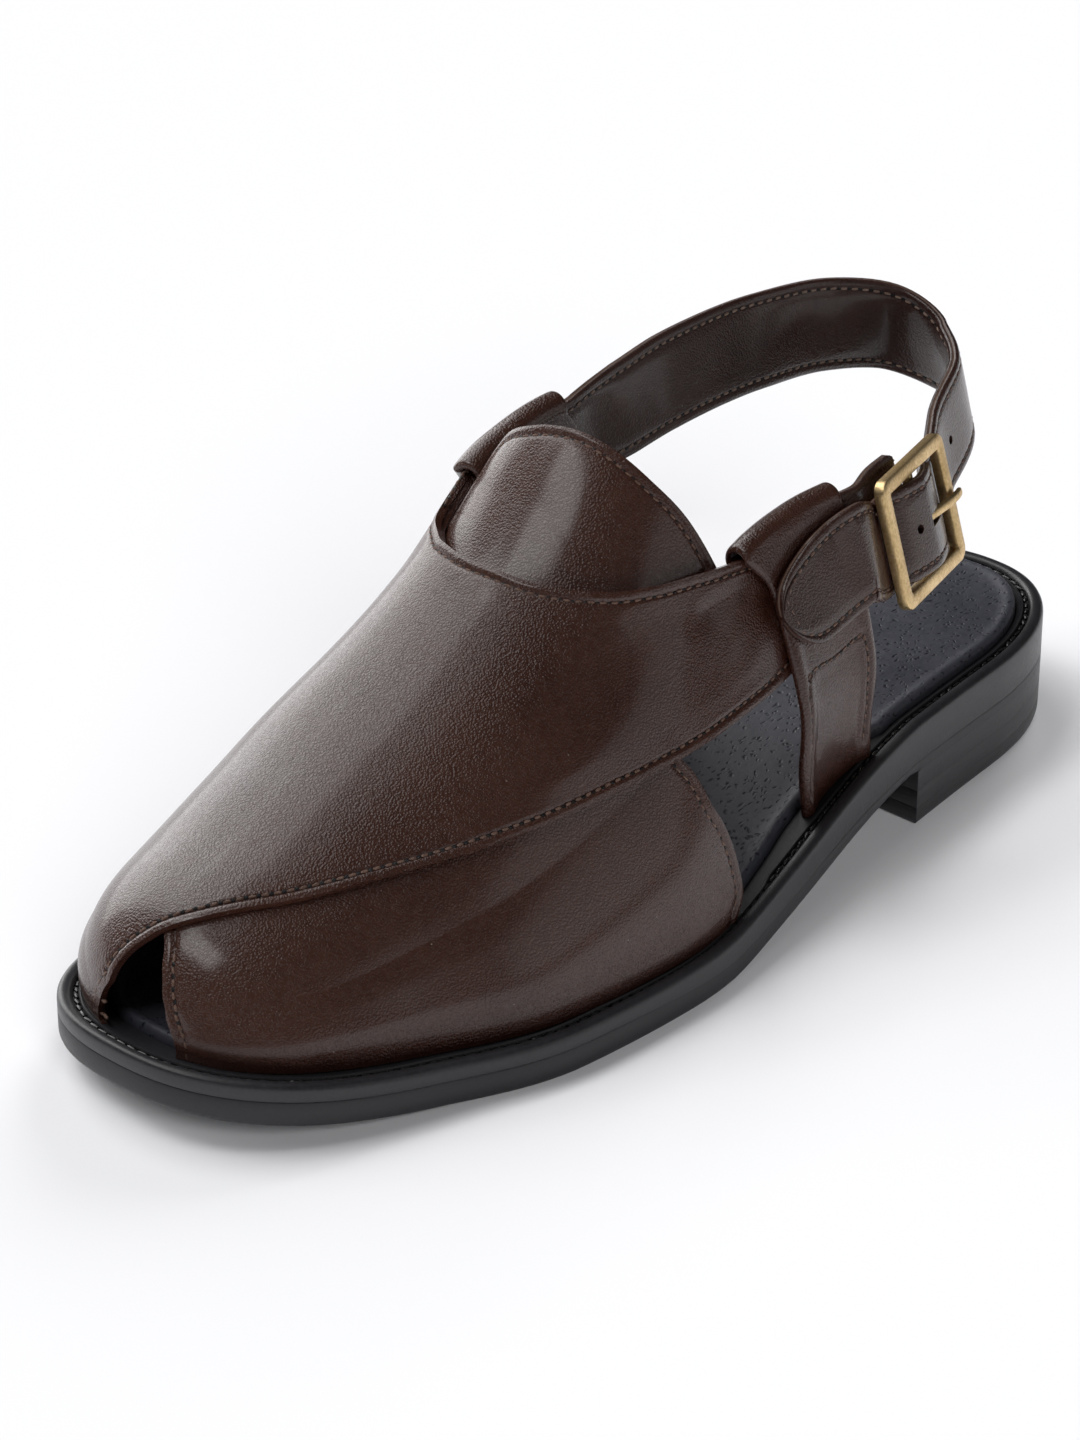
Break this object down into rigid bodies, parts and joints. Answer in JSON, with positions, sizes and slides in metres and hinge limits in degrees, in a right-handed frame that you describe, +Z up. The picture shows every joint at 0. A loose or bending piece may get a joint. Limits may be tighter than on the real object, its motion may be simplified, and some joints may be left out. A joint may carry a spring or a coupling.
{
  "type": "peshawari chappal",
  "caption": "Crossed-strap leather sandal with open toe and sides, half-round tongue, buckled heel strap, padded insole and welted rubber sole with a low heel.",
  "frame": {"origin": "centre of the bounding box at floor level, under the sole", "axes": "+Y from toe to heel, +X towards the outer side with the buckle, +Z up"},
  "size_m": [0.105, 0.292, 0.1092],
  "materials": {
    "outsole": "satin",
    "heel": "satin",
    "welt": "satin",
    "insole": "matt pored lining",
    "upper": "glossy pebbled grain",
    "tongue": "glossy pebbled grain",
    "side_strap_lateral": "glossy pebbled grain",
    "side_strap_medial": "glossy pebbled grain",
    "heel_strap": "glossy pebbled grain",
    "chape": "glossy pebbled grain",
    "buckle_frame": "antique, brushed edges",
    "buckle_bar": "antique, brushed edges",
    "buckle_prong": "antique, brushed edges"
  },
  "bodies": {
    "root": {"outsole": "outsole", "heel": "heel", "welt": "welt", "insole": "insole", "upper": "upper", "tongue": "tongue", "side_strap_lateral": "side_strap_lateral", "side_strap_medial": "side_strap_medial", "heel_strap": "heel_strap", "chape": "chape", "buckle_frame": "buckle_frame", "buckle_bar": "buckle_bar", "buckle_prong": "buckle_prong"}
  },
  "joints": []
}
